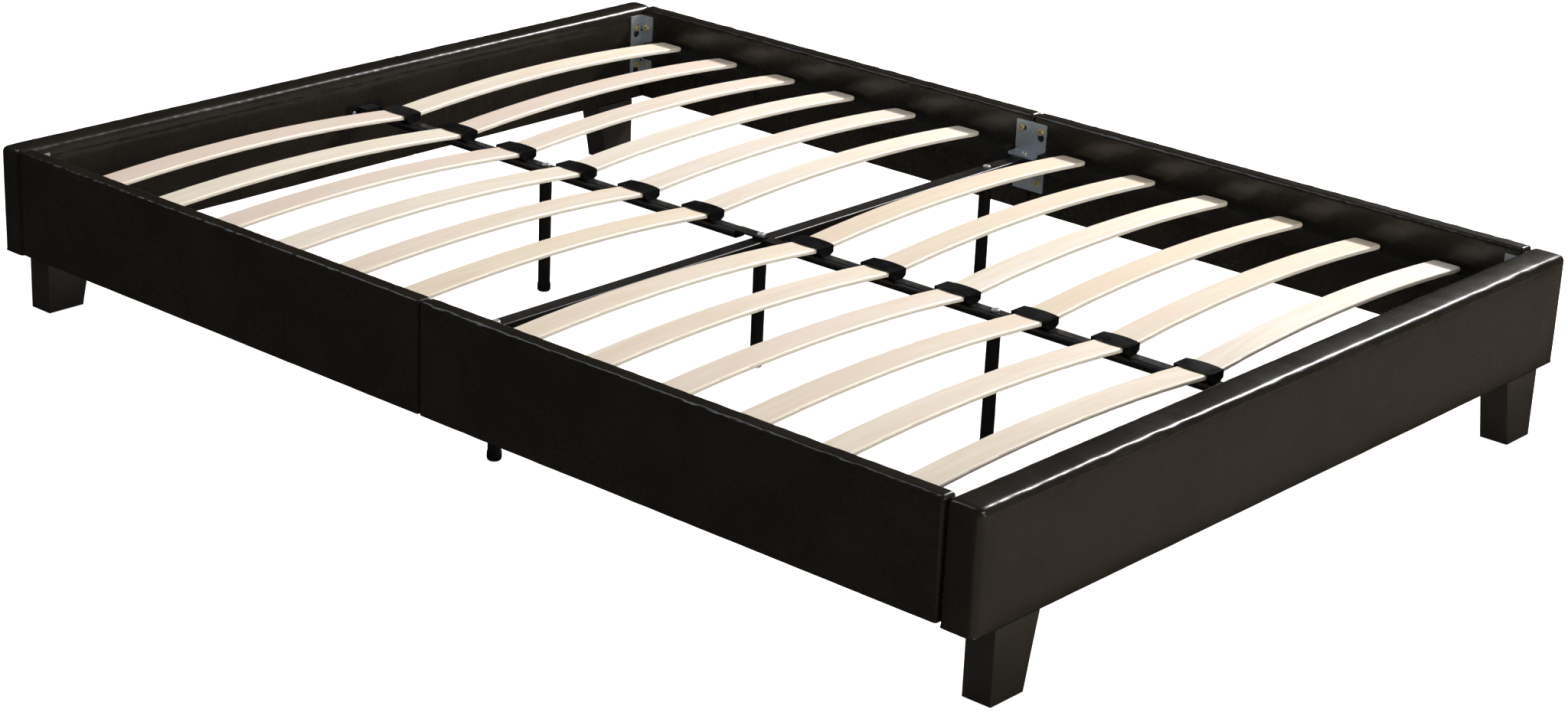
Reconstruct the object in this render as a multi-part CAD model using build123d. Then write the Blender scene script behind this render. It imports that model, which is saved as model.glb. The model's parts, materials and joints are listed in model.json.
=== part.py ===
from build123d import *
import os
from math import sqrt

os.makedirs("parts", exist_ok=True)

# Upholstered platform bed frame, knock-down, slatted. Millimetres.
# +X is the width, +Y runs from the foot to the head, +Z is up.
# The origin is on the floor, at the centre of the frame's outline.

# ---------------------------------------------------------------- overall
bed_length = 2030.0
bed_width = 1480.0
rail_top = 290.0
side_rail_bottom = 113.0
end_rail_bottom = 110.0
middle_y = 14.0               # line where the two halves of the frame meet

# ---------------------------------------------------------------- rails
side_rail_thick = 30.0
head_rail_thick = 50.0
foot_rail_thick = 60.0
cover_thick = 3.0             # leather with its thin wadding
side_edge_radius = 7.0
end_edge_radius = 9.0
board_edge_radius = 8.0       # eased, so that the leather isn't cut
rail_gap = 0.6                # between two covered rails that butt

# ---------------------------------------------------------------- slat ledgers
ledger_width = 30.0
ledger_height = 30.0
ledger_end_gap = 4.0
ledger_screw_count = 3
ledger_screw_inset = 70.0

# ---------------------------------------------------------------- slats
rows_per_half = 6
slat_width = 52.0
slat_thick = 8.0
slat_crown = 16.0             # rise of the bowed slat at mid span
slat_rail_gap = 14.0
slat_edge_radius = 3.0
slat_corner_radius = 9.0       # at the end on the side rail
slat_seat_z = 230.0           # underside of a slat's end, and the ledger's top
slat_centre_gap = 10.0        # from the beam's centre line to a slat's inner end
head_row_inset = 98.0         # rail's inner face to the first row's centre line
head_middle_inset = 128.0     # middle line to the last row of the head half
foot_row_inset = 122.0
foot_middle_inset = 106.0

# ---------------------------------------------------------------- slat caps
cap_margin = 7.0              # cap beyond the slat, each side
cap_end_half = 16.0           # half width at the cap's two ends
cap_bulge = 5.0               # extra half width half way along
cap_foot_half = 9.0
cap_shoulder = 8.0            # height of the straight upper part
cap_roof = 2.4                # plastic above the slat
cap_play = 0.3
cap_peg_radius = 3.0
cap_peg_length = 5.0

# ---------------------------------------------------------------- beams
beam_width = 30.0
beam_height = 15.0
beam_wall = 1.5
beam_top = 225.0
tongue_width = 22.0
tongue_thick = 3.0
tongue_length = 46.0
tongue_root = 12.0            # crimped length of tube that the tongue grows from
cross_width = 28.0
cross_height = 20.0
cross_corner = 3.0
cross_end_gap = 1.0

# ---------------------------------------------------------------- beam end brackets
socket_wall = 2.5
socket_depth = 24.0
socket_play = 0.4
socket_plate_width = 82.0
socket_plate_height = 34.0
socket_screw_spread = 54.0

# ---------------------------------------------------------------- support legs
support_leg_diameter = 21.0
support_leg_wall = 1.5
support_leg_head = 12.0       # solid threaded plug in the tube's top
support_foot_height = 14.0
support_foot_dome = 5.0
support_foot_skirt = 1.0      # foot's wall beyond the tube
centre_leg_row = 3            # the leg stands after this row, from each end
cross_leg_inset = 125.0       # side rail's inner face to the leg's axis

# ---------------------------------------------------------------- corner legs
leg_depth = 48.0
leg_top_width = 92.0
leg_bottom_width = 68.0
leg_inset = 50.0              # bed's side to the leg's straight outer face
leg_setback = 2.0
leg_edge_radius = 1.5
leg_bolt_radius = 4.0
leg_bolt_in_leg = 40.0
leg_bolt_in_rail = 45.0

# ---------------------------------------------------------------- corner brackets
plate_thick = 3.0
corner_flange = 31.0
corner_height = 120.0
corner_top_gap = 14.0         # rail top to the bracket's top
corner_bolt_inset = 16.0      # from the fold
corner_bolt_high = 24.0       # from the bracket's top
corner_bolt_low = 24.0        # from its bottom
corner_pin_hole = 2.0

# ---------------------------------------------------------------- mid brackets
mid_width = 65.0
mid_height = 125.0
mid_top_gap = 13.0
mid_bolt_spread = 42.0
mid_bolt_drop = 14.0          # upper bolts below the plate's top
mid_low_bolt_rise = 18.0
mid_slot_shift = 6.0
tab_depth = 30.0
tab_width = 60.0
tab_corner = 9.0
tab_bolt_inset = 15.0

# ---------------------------------------------------------------- fasteners
bolt_radius = 4.0
bolt_head_radius = 6.5
bolt_head_height = 3.9
bolt_length = 26.0
bolt_play = 0.4
key_radius = 7.5              # large end of a keyhole
key_drop = 11.0
screw_radius = 2.0
screw_head_radius = 4.2
screw_head_height = 2.4
screw_length = 40.0
beam_bolt_radius = 3.0
beam_bolt_head_radius = 7.0
beam_bolt_head_height = 3.5
beam_bolt_bite = 9.0
hex_socket = 2.2              # half width of the key socket in a bolt head

# ---------------------------------------------------------------- derived places
side_x = bed_width / 2
inner_x = side_x - side_rail_thick
head_y = bed_length / 2
foot_y = -bed_length / 2
head_inner_y = head_y - head_rail_thick
foot_inner_y = foot_y + foot_rail_thick
cross_top = beam_top - 2 * tongue_thick
cross_bottom = cross_top - cross_height
beam_centre_z = beam_top - beam_height / 2
beam_bottom = beam_top - beam_height
slat_inner_x = slat_centre_gap
slat_outer_x = inner_x - slat_rail_gap
cap_top = slat_seat_z + slat_thick + cap_play + cap_roof
cap_half_length = slat_width / 2 + cap_margin
corner_top = rail_top - corner_top_gap
mid_top = rail_top - mid_top_gap


def block(x0, x1, y0, y1, z0, z1):
    """Box between two opposite corners."""
    size = (abs(x1 - x0), abs(y1 - y0), abs(z1 - z0))
    centre = ((x0 + x1) / 2, (y0 + y1) / 2, (z0 + z1) / 2)
    return Pos(*centre) * Box(*size)


def rod(start, direction, radius, length):
    """Round bar from a start point along a direction."""
    plane = Plane(origin=start, z_dir=direction)
    align = (Align.CENTER, Align.CENTER, Align.MIN)
    return plane * Cylinder(radius, length, align=align)


def save(name, pieces):
    """Write one node, from one solid or a group of separate solids."""
    solids = []
    for piece in (pieces if isinstance(pieces, list) else [pieces]):
        solids += list(piece.solids())
    shape = solids[0] if len(solids) == 1 else Compound(children=solids)
    shape.label = name
    export_step(shape, os.path.join("parts", name + ".step"))


def row_places():
    """Centre lines of the slat rows, from the head to the foot."""
    spans = (
        (head_inner_y - head_row_inset, middle_y + head_middle_inset),
        (middle_y - foot_middle_inset, foot_inner_y + foot_row_inset),
    )
    rows = []
    for first, last in spans:
        step = (last - first) / (rows_per_half - 1)
        rows += [first + step * i for i in range(rows_per_half)]
    return rows


rows = row_places()
head_leg_y = (rows[centre_leg_row - 1] + rows[centre_leg_row]) / 2
foot_leg_row = 2 * rows_per_half - centre_leg_row
foot_leg_y = (rows[foot_leg_row - 1] + rows[foot_leg_row]) / 2
cross_leg_x = inner_x - cross_leg_inset

ends = {
    "head": (1, head_y, head_inner_y),
    "foot": (-1, foot_y, foot_inner_y),
}
sides = {"left": -1, "right": 1}


# ---------------------------------------------------------------- fastener places
def button_bolt(seat, direction, radius, length, head_radius, head_height):
    """Bolt whose head stands off its seat, with a hexagon key socket."""
    back = Vector(*direction) * -1
    shank = rod(seat, direction, radius, length)
    head = rod(seat, tuple(back), head_radius, head_height)
    rim = head.faces().sort_by(Axis(seat, tuple(back)))[-1].edges()
    head = fillet(rim, head_height * 0.55)
    top = Vector(*seat) + back * (head_height * 0.45)
    recess = Plane(origin=top, z_dir=tuple(back)) * RegularPolygon(hex_socket, 6)
    return shank + head - extrude(recess, head_height)


def corner_bolt_places():
    """Seat and direction of each corner bracket bolt."""
    places = []
    heights = (corner_top - corner_bolt_high, corner_top - corner_height + corner_bolt_low)
    for sy, _, face_y in ends.values():
        for sx in sides.values():
            for z in heights:
                x = sx * (inner_x - corner_bolt_inset)
                y = face_y - sy * corner_bolt_inset
                places.append(((x, face_y - sy * plate_thick, z), (0, sy, 0)))
                places.append(((sx * (inner_x - plate_thick), y, z), (sx, 0, 0)))
    return places


def mid_bolt_places():
    """Seat and direction of each bolt that holds a mid bracket to the rails."""
    places = []
    for sx in sides.values():
        x = sx * (inner_x - plate_thick)
        for sy in (-1, 1):
            y = middle_y + sy * mid_bolt_spread / 2
            places.append(((x, y, mid_top - mid_bolt_drop), (sx, 0, 0)))
            places.append(((x, y, mid_top - mid_height + mid_low_bolt_rise), (sx, 0, 0)))
    return places


def tab_bolt_places():
    """Seat of each bolt through a mid bracket's tab into the cross beam."""
    x = inner_x - plate_thick - tab_bolt_inset
    return [((sx * x, middle_y, cross_top + plate_thick), (0, 0, -1)) for sx in sides.values()]


def socket_screw_places():
    """Seat and direction of the screws through the beam end brackets."""
    places = []
    for sy, _, face_y in ends.values():
        for sx in (-1, 1):
            x = sx * socket_screw_spread / 2
            places.append(((x, face_y - sy * socket_wall, beam_centre_z), (0, sy, 0)))
    return places


def ledger_span(end):
    """Start and stop of the ledger on one half of a side rail."""
    sy, _, face_y = ends[end]
    middle = middle_y + sy * (mid_width / 2 + ledger_end_gap)
    outer = face_y - sy * (corner_flange + ledger_end_gap)
    return middle, outer


def ledger_screw_places():
    """Seat and direction of the screws through the slat ledgers."""
    places = []
    z = slat_seat_z - ledger_height / 2
    for sx in sides.values():
        for end in ends:
            sy = ends[end][0]
            start, stop = ledger_span(end)
            first = start + sy * ledger_screw_inset
            step = (stop - sy * ledger_screw_inset - first) / (ledger_screw_count - 1)
            for i in range(ledger_screw_count):
                places.append(((sx * (inner_x - ledger_width), first + step * i, z), (sx, 0, 0)))
    return places


def leg_bolt_places():
    """Axis of each corner leg's hanger bolt, at the rail's underside."""
    places = []
    for sy, outer_y, _ in ends.values():
        for sx in sides.values():
            x = sx * (side_x - leg_inset - leg_bottom_width / 2)
            y = outer_y - sy * (leg_setback + leg_depth / 2)
            places.append((x, y, end_rail_bottom))
    return places


def support_leg_places():
    """Name, axis and top of each support leg, with the top of its bolt's seat."""
    return {
        "support_leg_head": (0, head_leg_y, beam_bottom, beam_top),
        "support_leg_foot": (0, foot_leg_y, beam_bottom, beam_top),
        "support_leg_centre": (0, middle_y, cross_bottom, beam_top),
        "support_leg_left": (-cross_leg_x, middle_y, cross_bottom, cross_top),
        "support_leg_right": (cross_leg_x, middle_y, cross_bottom, cross_top),
    }


def drill(piece, places, radius, length):
    """Cut round holes that start at each seat and run along its direction."""
    reach = piece.bounding_box()
    for seat, direction in places:
        point = Vector(*seat) + Vector(*direction) * length
        low = (min(seat[0], point.X), min(seat[1], point.Y), min(seat[2], point.Z))
        high = (max(seat[0], point.X), max(seat[1], point.Y), max(seat[2], point.Z))
        near = all(
            low[i] - radius <= (reach.max.X, reach.max.Y, reach.max.Z)[i]
            and high[i] + radius >= (reach.min.X, reach.min.Y, reach.min.Z)[i]
            for i in range(3)
        )
        if near:
            piece -= rod(seat, direction, radius, length)
    return piece


plate_bolts = corner_bolt_places() + mid_bolt_places()
wood_screws = ledger_screw_places() + socket_screw_places()
hanger_bolts = [(place, (0, 0, 1)) for place in leg_bolt_places()]


# ---------------------------------------------------------------- rails
def rail_outline(name):
    """Outer box of a covered rail: x0, x1, y0, y1, z0, z1 and its edge radius."""
    if name in ends:
        _, outer_y, inner_y = ends[name]
        y0, y1 = sorted((outer_y, inner_y))
        return (-side_x, side_x, y0, y1, end_rail_bottom, rail_top), end_edge_radius
    side, end = name.split("_")
    sx, sy = sides[side], ends[end][0]
    x0, x1 = sorted((sx * inner_x, sx * side_x))
    near = middle_y + sy * rail_gap / 2
    far = ends[end][2] - sy * rail_gap
    y0, y1 = sorted((near, far))
    return (x0, x1, y0, y1, side_rail_bottom, rail_top), side_edge_radius


def rail_board(name):
    """Timber core of a rail, drilled for its bolts and screws."""
    (x0, x1, y0, y1, z0, z1), _ = rail_outline(name)
    t = cover_thick
    board = block(x0 + t, x1 - t, y0 + t, y1 - t, z0 + t, z1 - t)
    board = fillet(board.edges(), board_edge_radius)
    board = drill(board, plate_bolts, bolt_radius, bolt_length)
    board = drill(board, wood_screws, screw_radius, screw_length)
    return drill(board, hanger_bolts, leg_bolt_radius, leg_bolt_in_rail)


def rail_cover(name):
    """Leather cover that wraps a rail's board on every side."""
    (x0, x1, y0, y1, z0, z1), radius = rail_outline(name)
    t = cover_thick
    skin = block(x0, x1, y0, y1, z0, z1)
    skin = fillet(skin.edges(), min(radius, 3 * t - 0.5))
    skin -= block(x0 + t, x1 - t, y0 + t, y1 - t, z0 + t, z1 - t)
    skin = drill(skin, plate_bolts, bolt_radius + bolt_play, bolt_length)
    skin = drill(skin, wood_screws, screw_radius + bolt_play, screw_length)
    return drill(skin, hanger_bolts, leg_bolt_radius + bolt_play, leg_bolt_in_rail)


def slat_ledger(side, end):
    """Batten along the inside of a side rail that carries the slats' ends."""
    sx = sides[side]
    y0, y1 = ledger_span(end)
    x0, x1 = sx * (inner_x - ledger_width), sx * inner_x
    batten = block(x0, x1, y0, y1, slat_seat_z - ledger_height, slat_seat_z)
    batten = drill(batten, ledger_screw_places(), screw_radius, screw_length)
    return drill(batten, ledger_screw_places(), screw_head_radius, screw_head_height)


# ---------------------------------------------------------------- legs
def corner_leg(side, end):
    """Block leg under an end rail, tapered on its inner side only."""
    sx, (sy, outer_y, _) = sides[side], ends[end]
    outer_x = side_x - leg_inset
    profile = Polyline(
        (outer_x, 0),
        (outer_x, end_rail_bottom),
        (outer_x - leg_top_width, end_rail_bottom),
        (outer_x - leg_bottom_width, 0),
        close=True,
    )
    y_front = outer_y - sy * leg_setback
    face = Plane(origin=(0, y_front, 0), x_dir=(1, 0, 0), z_dir=(0, -1, 0)) * make_face(profile)
    leg = extrude(face, leg_depth, dir=(0, -sy, 0))
    leg = fillet(leg.edges().filter_by(Axis.Z), leg_edge_radius)
    if sx < 0:
        leg = mirror(leg, Plane.YZ)
    for x, y, z in leg_bolt_places():
        if x * sx > 0 and y * sy > 0:
            leg -= rod((x, y, z), (0, 0, -1), leg_bolt_radius, leg_bolt_in_leg)
    return leg


def hanger_bolt(place):
    """Double-ended stud between a corner leg and its rail."""
    x, y, z = place
    length = leg_bolt_in_leg + leg_bolt_in_rail
    return rod((x, y, z - leg_bolt_in_leg), (0, 0, 1), leg_bolt_radius, length)


def support_leg(x, y, top, _seat):
    """Round steel tube with a threaded plug in its top end."""
    radius = support_leg_diameter / 2
    leg = rod((x, y, support_foot_height / 2), (0, 0, 1), radius, top - support_foot_height / 2)
    bore = top - support_leg_head - support_foot_height / 2
    leg -= rod((x, y, support_foot_height / 2), (0, 0, 1), radius - support_leg_wall, bore)
    return leg - rod((x, y, top), (0, 0, -1), beam_bolt_radius, beam_bolt_bite)


def support_foot(x, y):
    """Domed plastic foot that sleeves over the tube's lower end."""
    radius = support_leg_diameter / 2 + support_foot_skirt
    foot = rod((x, y, 0), (0, 0, 1), radius, support_foot_height)
    foot = fillet(foot.edges().sort_by(Axis.Z)[0], support_foot_dome)
    half = support_foot_height / 2
    return foot - rod((x, y, half), (0, 0, 1), support_leg_diameter / 2, half)


def support_bolt(x, y, top, seat):
    """Bolt from above, through the beam into the leg's plug."""
    length = seat - top + beam_bolt_bite
    return button_bolt(
        (x, y, seat), (0, 0, -1), beam_bolt_radius, length,
        beam_bolt_head_radius, beam_bolt_head_height,
    )


# ---------------------------------------------------------------- beams
def centre_beam(end):
    """Half of the centre beam: a flat-oval tube with a flattened tongue."""
    sy, _, face_y = ends[end]
    start = middle_y + sy * tongue_length
    stop = face_y - sy * (socket_wall + socket_play)
    plane = Plane(origin=(0, start, beam_centre_z), x_dir=(1, 0, 0), z_dir=(0, sy, 0))
    outer = SlotOverall(beam_width, beam_height)
    inner = SlotOverall(beam_width - 2 * beam_wall, beam_height - 2 * beam_wall)
    tube = extrude(plane * (outer - inner), abs(stop - start))
    tube += extrude(plane * inner, tongue_root)
    level = 1 if end == "head" else 2
    z1 = beam_top - (level - 1) * tongue_thick
    half = tongue_width / 2
    tip = middle_y - sy * cross_width / 2
    tongue = block(-half, half, tip, start + sy * tongue_root / 2, z1 - tongue_thick, z1)
    corners = tongue.edges().filter_by(Axis.Z).sort_by(Axis.Y)
    tongue = fillet(corners[:2] if sy > 0 else corners[-2:], half * 0.8)
    beam = tube + tongue
    for x, y, _, seat in support_leg_places().values():
        beam -= rod((x, y, seat), (0, 0, -1), beam_bolt_radius + bolt_play, beam_height)
    for y in rows:
        if (y - middle_y) * sy > 0:
            beam -= rod((0, y, beam_top), (0, 0, -1), cap_peg_radius + cap_play, beam_height / 2)
    return beam


def cross_beam():
    """Rectangular steel tube from side to side under the centre beam."""
    half = inner_x - plate_thick - cross_end_gap
    plane = Plane(origin=(-half, middle_y, cross_top - cross_height / 2),
                  x_dir=(0, 1, 0), z_dir=(1, 0, 0))
    outer = RectangleRounded(cross_width, cross_height, cross_corner)
    inner = RectangleRounded(
        cross_width - 2 * beam_wall, cross_height - 2 * beam_wall, cross_corner - beam_wall * 0.9)
    beam = extrude(plane * (outer - inner), 2 * half)
    for x, y, _, _ in support_leg_places().values():
        if y == middle_y:
            beam -= rod((x, y, beam_top), (0, 0, -1), beam_bolt_radius + bolt_play, 2 * cross_height)
    for (x, y, z), direction in tab_bolt_places():
        beam -= rod((x, y, z), direction, beam_bolt_radius + bolt_play, cross_height / 2 + plate_thick)
    return beam


def beam_socket(end):
    """Bracket on an end rail's inner face that takes the centre beam's end."""
    sy, _, face_y = ends[end]
    front = face_y - sy * socket_wall
    plate_half, plate_rise = socket_plate_width / 2, socket_plate_height / 2
    bracket = block(-plate_half, plate_half, front, face_y,
                    beam_centre_z - plate_rise, beam_centre_z + plate_rise)
    bracket = fillet(bracket.edges().filter_by(Axis.Y), 4)
    half = beam_width / 2 + socket_play
    rise = beam_height / 2 + socket_play
    cup = block(-half - socket_wall, half + socket_wall, front - sy * socket_depth, front,
                beam_centre_z - rise - socket_wall, beam_centre_z + rise + socket_wall)
    cup = fillet(cup.edges().filter_by(Axis.Y), 2)
    cup -= block(-half, half, front - sy * socket_depth, front,
                 beam_centre_z - rise, beam_centre_z + rise)
    bracket += cup
    return drill(bracket, socket_screw_places(), screw_radius + bolt_play, socket_wall)


# ---------------------------------------------------------------- brackets
def keyhole(seat, direction, drop):
    """Cutter for a bolt hole that widens into a large hole below it."""
    x, y, z = seat
    reach = plate_thick
    cutter = rod(seat, direction, bolt_radius + bolt_play, reach)
    cutter += rod((x, y, z - drop), direction, key_radius, reach)
    neck = bolt_radius + bolt_play
    if direction[0]:
        cutter += block(x, x + direction[0] * reach, y - neck, y + neck, z - drop, z)
    else:
        cutter += block(x - neck, x + neck, y, y + direction[1] * reach, z - drop, z)
    return cutter


def corner_bracket(side, end):
    """Folded angle that joins a side rail to an end rail."""
    sx, (sy, _, face_y) = sides[side], ends[end]
    z0, z1 = corner_top - corner_height, corner_top
    x_fold, y_fold = sx * inner_x, face_y
    flange_end = block(x_fold - sx * corner_flange, x_fold,
                       y_fold - sy * plate_thick, y_fold, z0, z1)
    flange_side = block(x_fold - sx * plate_thick, x_fold,
                        y_fold - sy * corner_flange, y_fold, z0, z1)
    bracket = flange_end + flange_side
    for z in (z0 + corner_height / 4, z0 + corner_height / 4 * 3):
        centre = Vector(x_fold - sx * plate_thick, y_fold - sy * plate_thick, z)
        along = Vector(sx, sy, 0)
        bracket -= rod(tuple(centre - along * 4), tuple(along), corner_pin_hole, 12)
    for seat, direction in corner_bolt_places():
        if seat[0] * sx > 0 and seat[1] * sy > 0:
            if direction[1]:
                bracket -= keyhole(seat, direction, key_drop)
            else:
                bracket -= rod(seat, direction, bolt_radius + bolt_play, plate_thick)
    return bracket


def mid_bracket(side):
    """Plate that joins the two halves of a side rail and carries the cross beam."""
    sx = sides[side]
    x_front, x_back = sx * (inner_x - plate_thick), sx * inner_x
    y0, y1 = middle_y - mid_width / 2, middle_y + mid_width / 2
    plate = block(x_front, x_back, y0, y1, mid_top - mid_height, mid_top)
    plate = fillet(plate.edges().filter_by(Axis.X), 2)
    tab = block(x_front - sx * tab_depth, x_back, middle_y - tab_width / 2,
                middle_y + tab_width / 2, cross_top, cross_top + plate_thick)
    corners = tab.edges().filter_by(Axis.Z).sort_by(Axis.X)
    tab = fillet(corners[:2] if sx > 0 else corners[-2:], tab_corner)
    bracket = plate + tab
    for seat, direction in mid_bolt_places():
        if seat[0] * sx < 0:
            continue
        x, y, z = seat
        if y > middle_y and z > cross_top:
            neck = bolt_radius + bolt_play
            bracket -= rod(seat, direction, neck, plate_thick)
            bracket -= rod((x, y - mid_slot_shift, z), direction, neck, plate_thick)
            bracket -= block(x_front, x_back, y - mid_slot_shift, y, z - neck, z + neck)
        elif z > cross_top:
            bracket -= keyhole(seat, direction, key_drop)
        else:
            bracket -= rod(seat, direction, bolt_radius + bolt_play, plate_thick)
    for (x, y, z), direction in tab_bolt_places():
        if x * sx > 0:
            bracket -= rod((x, y, z), direction, beam_bolt_radius + bolt_play, plate_thick)
    return bracket


# ---------------------------------------------------------------- slats and caps
def slat_arc(lift):
    """Bow of a slat through its two ends, raised by a lift."""
    middle = (slat_inner_x + slat_outer_x) / 2
    return ThreePointArc(
        (slat_inner_x, slat_seat_z + lift),
        (middle, slat_seat_z + slat_crown + lift),
        (slat_outer_x, slat_seat_z + lift),
    )


def bowed_slat(y, sx):
    """One bent plywood slat, with all its long edges eased."""
    lower, upper = slat_arc(0), slat_arc(slat_thick)
    ends_of = (
        Line((slat_inner_x, slat_seat_z), (slat_inner_x, slat_seat_z + slat_thick)),
        Line((slat_outer_x, slat_seat_z), (slat_outer_x, slat_seat_z + slat_thick)),
    )
    face = make_face([*lower.edges(), *upper.edges(), *ends_of[0].edges(), *ends_of[1].edges()])
    plane = Plane(origin=(0, y + slat_width / 2, 0), x_dir=(1, 0, 0), z_dir=(0, -1, 0))
    slat = extrude(plane * face, slat_width)
    corners = slat.edges().filter_by(Axis.Z).group_by(Axis.X)[-1]
    slat = fillet(corners, slat_corner_radius)
    long_edges = [e for e in slat.edges() if e.geom_type == GeomType.CIRCLE and e.length > slat_width]
    slat = fillet(long_edges, slat_edge_radius)
    return slat if sx > 0 else mirror(slat, Plane.YZ)


def slat_cap(y):
    """Double plastic cap that seats two slats' inner ends on the centre beam."""
    wide = cap_end_half + cap_bulge
    shoulder = cap_top - cap_shoulder
    section = Polyline(
        (-cap_foot_half, beam_top), (-wide, shoulder), (-wide, cap_top),
        (wide, cap_top), (wide, shoulder), (cap_foot_half, beam_top), close=True)
    plane = Plane(origin=(0, y + cap_half_length, 0), x_dir=(1, 0, 0), z_dir=(0, -1, 0))
    body = extrude(plane * make_face(section), 2 * cap_half_length)
    y0, y1 = y - cap_half_length, y + cap_half_length
    outline = make_face([
        Line((-cap_end_half, y0), (cap_end_half, y0)).edge(),
        ThreePointArc((cap_end_half, y0), (wide, y), (cap_end_half, y1)).edge(),
        Line((cap_end_half, y1), (-cap_end_half, y1)).edge(),
        ThreePointArc((-cap_end_half, y1), (-wide, y), (-cap_end_half, y0)).edge(),
    ])
    column = extrude(Pos(0, 0, beam_top) * outline, cap_top - beam_top, dir=(0, 0, 1))
    cap = body & column
    slot_half = slat_width / 2 + cap_play
    slot_top = slat_seat_z + slat_thick + cap_play + slat_rise(wide)
    for sx in (-1, 1):
        cap -= block(sx * (slat_inner_x - cap_play), sx * (wide + 1), y - slot_half, y + slot_half,
                     slat_seat_z, slot_top)
    peg = rod((0, y, beam_top), (0, 0, -1), cap_peg_radius, cap_peg_length)
    return cap + peg


def slat_rise(x):
    """Height that a slat's bow has gained at a place near its inner end."""
    half = (slat_outer_x - slat_inner_x) / 2
    radius = (half * half + slat_crown * slat_crown) / (2 * slat_crown)
    from_middle = half - (x - slat_inner_x)
    return sqrt(radius * radius - from_middle * from_middle) - (radius - slat_crown)


# ---------------------------------------------------------------- build
for rail in ("head", "foot"):
    save(rail + "_rail_board", rail_board(rail))
    save(rail + "_rail_cover", rail_cover(rail))
for side in sides:
    for end in ends:
        save(f"{side}_rail_{end}_board", rail_board(f"{side}_{end}"))
        save(f"{side}_rail_{end}_cover", rail_cover(f"{side}_{end}"))
        save(f"slat_ledger_{side}_{end}", slat_ledger(side, end))
        save(f"corner_leg_{side}_{end}", corner_leg(side, end))
        save(f"corner_bracket_{side}_{end}", corner_bracket(side, end))
    save(f"mid_bracket_{side}", mid_bracket(side))
for end in ends:
    save(f"centre_beam_{end}_half", centre_beam(end))
    save(f"beam_socket_{end}", beam_socket(end))
save("cross_beam", cross_beam())
for name, place in support_leg_places().items():
    save(name, support_leg(*place))
save("support_leg_feet", [support_foot(p[0], p[1]) for p in support_leg_places().values()])
for number, y in enumerate(rows, start=1):
    save(f"slat_pair_{number:02d}", [bowed_slat(y, -1), bowed_slat(y, 1)])
save("slat_caps", [slat_cap(y) for y in rows])
save("leg_hanger_bolts", [hanger_bolt(place) for place in leg_bolt_places()])
save("corner_bracket_bolts", [
    button_bolt(seat, direction, bolt_radius, bolt_length, bolt_head_radius, bolt_head_height)
    for seat, direction in corner_bolt_places()])
save("mid_bracket_bolts", [
    button_bolt(seat, direction, bolt_radius, bolt_length, bolt_head_radius, bolt_head_height)
    for seat, direction in mid_bolt_places()])
save("cross_beam_bolts", [
    button_bolt(seat, direction, beam_bolt_radius, cross_height / 2 + plate_thick,
                bolt_head_radius, bolt_head_height)
    for seat, direction in tab_bolt_places()])
save("support_leg_bolts", [support_bolt(*place) for place in support_leg_places().values()])
save("beam_socket_screws", [
    button_bolt(seat, direction, screw_radius, screw_length - socket_wall,
                screw_head_radius, screw_head_height)
    for seat, direction in socket_screw_places()])
save("ledger_screws", [
    rod(seat, direction, screw_radius, screw_length)
    + rod(seat, direction, screw_head_radius, screw_head_height)
    for seat, direction in ledger_screw_places()])
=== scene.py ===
import json
import logging
import math
from collections.abc import Callable
from dataclasses import dataclass, field
from enum import Enum

import bpy
import numpy as np
from mathutils import Matrix, Vector


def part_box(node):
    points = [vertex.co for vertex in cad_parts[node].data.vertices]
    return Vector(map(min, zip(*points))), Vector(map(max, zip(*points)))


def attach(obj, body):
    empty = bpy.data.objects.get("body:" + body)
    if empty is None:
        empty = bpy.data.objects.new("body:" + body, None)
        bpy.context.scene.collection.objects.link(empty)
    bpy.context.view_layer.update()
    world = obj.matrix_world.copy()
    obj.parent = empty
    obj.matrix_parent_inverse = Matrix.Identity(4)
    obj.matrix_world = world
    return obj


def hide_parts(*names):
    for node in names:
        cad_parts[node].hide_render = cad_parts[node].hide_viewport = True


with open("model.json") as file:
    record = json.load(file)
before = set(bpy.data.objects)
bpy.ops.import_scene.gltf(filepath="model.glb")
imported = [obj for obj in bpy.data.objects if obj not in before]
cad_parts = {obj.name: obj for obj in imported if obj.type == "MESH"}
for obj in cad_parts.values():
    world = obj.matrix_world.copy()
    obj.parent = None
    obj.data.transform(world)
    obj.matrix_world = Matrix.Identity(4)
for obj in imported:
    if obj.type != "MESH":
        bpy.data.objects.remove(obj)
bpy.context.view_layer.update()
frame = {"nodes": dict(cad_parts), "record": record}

log = logging.getLogger("bed_frame")

BODY = "root"
MM = 0.001


class Axis(Enum):
    """Directions that a rail can run in."""

    X = 0
    Y = 1
    Z = 2


class Slot(Enum):
    """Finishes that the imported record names."""

    LEATHER = "black_leather"
    TIMBER = "rail_timber"
    BATTEN = "black_batten"
    PLY = "birch_ply"
    PLASTIC = "black_plastic"
    LEG = "black_leg"
    ZINC = "zinc_plate"
    YELLOW_ZINC = "yellow_zinc"
    BRIGHT_ZINC = "bright_zinc"
    STEEL = "black_steel"


Colour = tuple[float, float, float]


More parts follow.
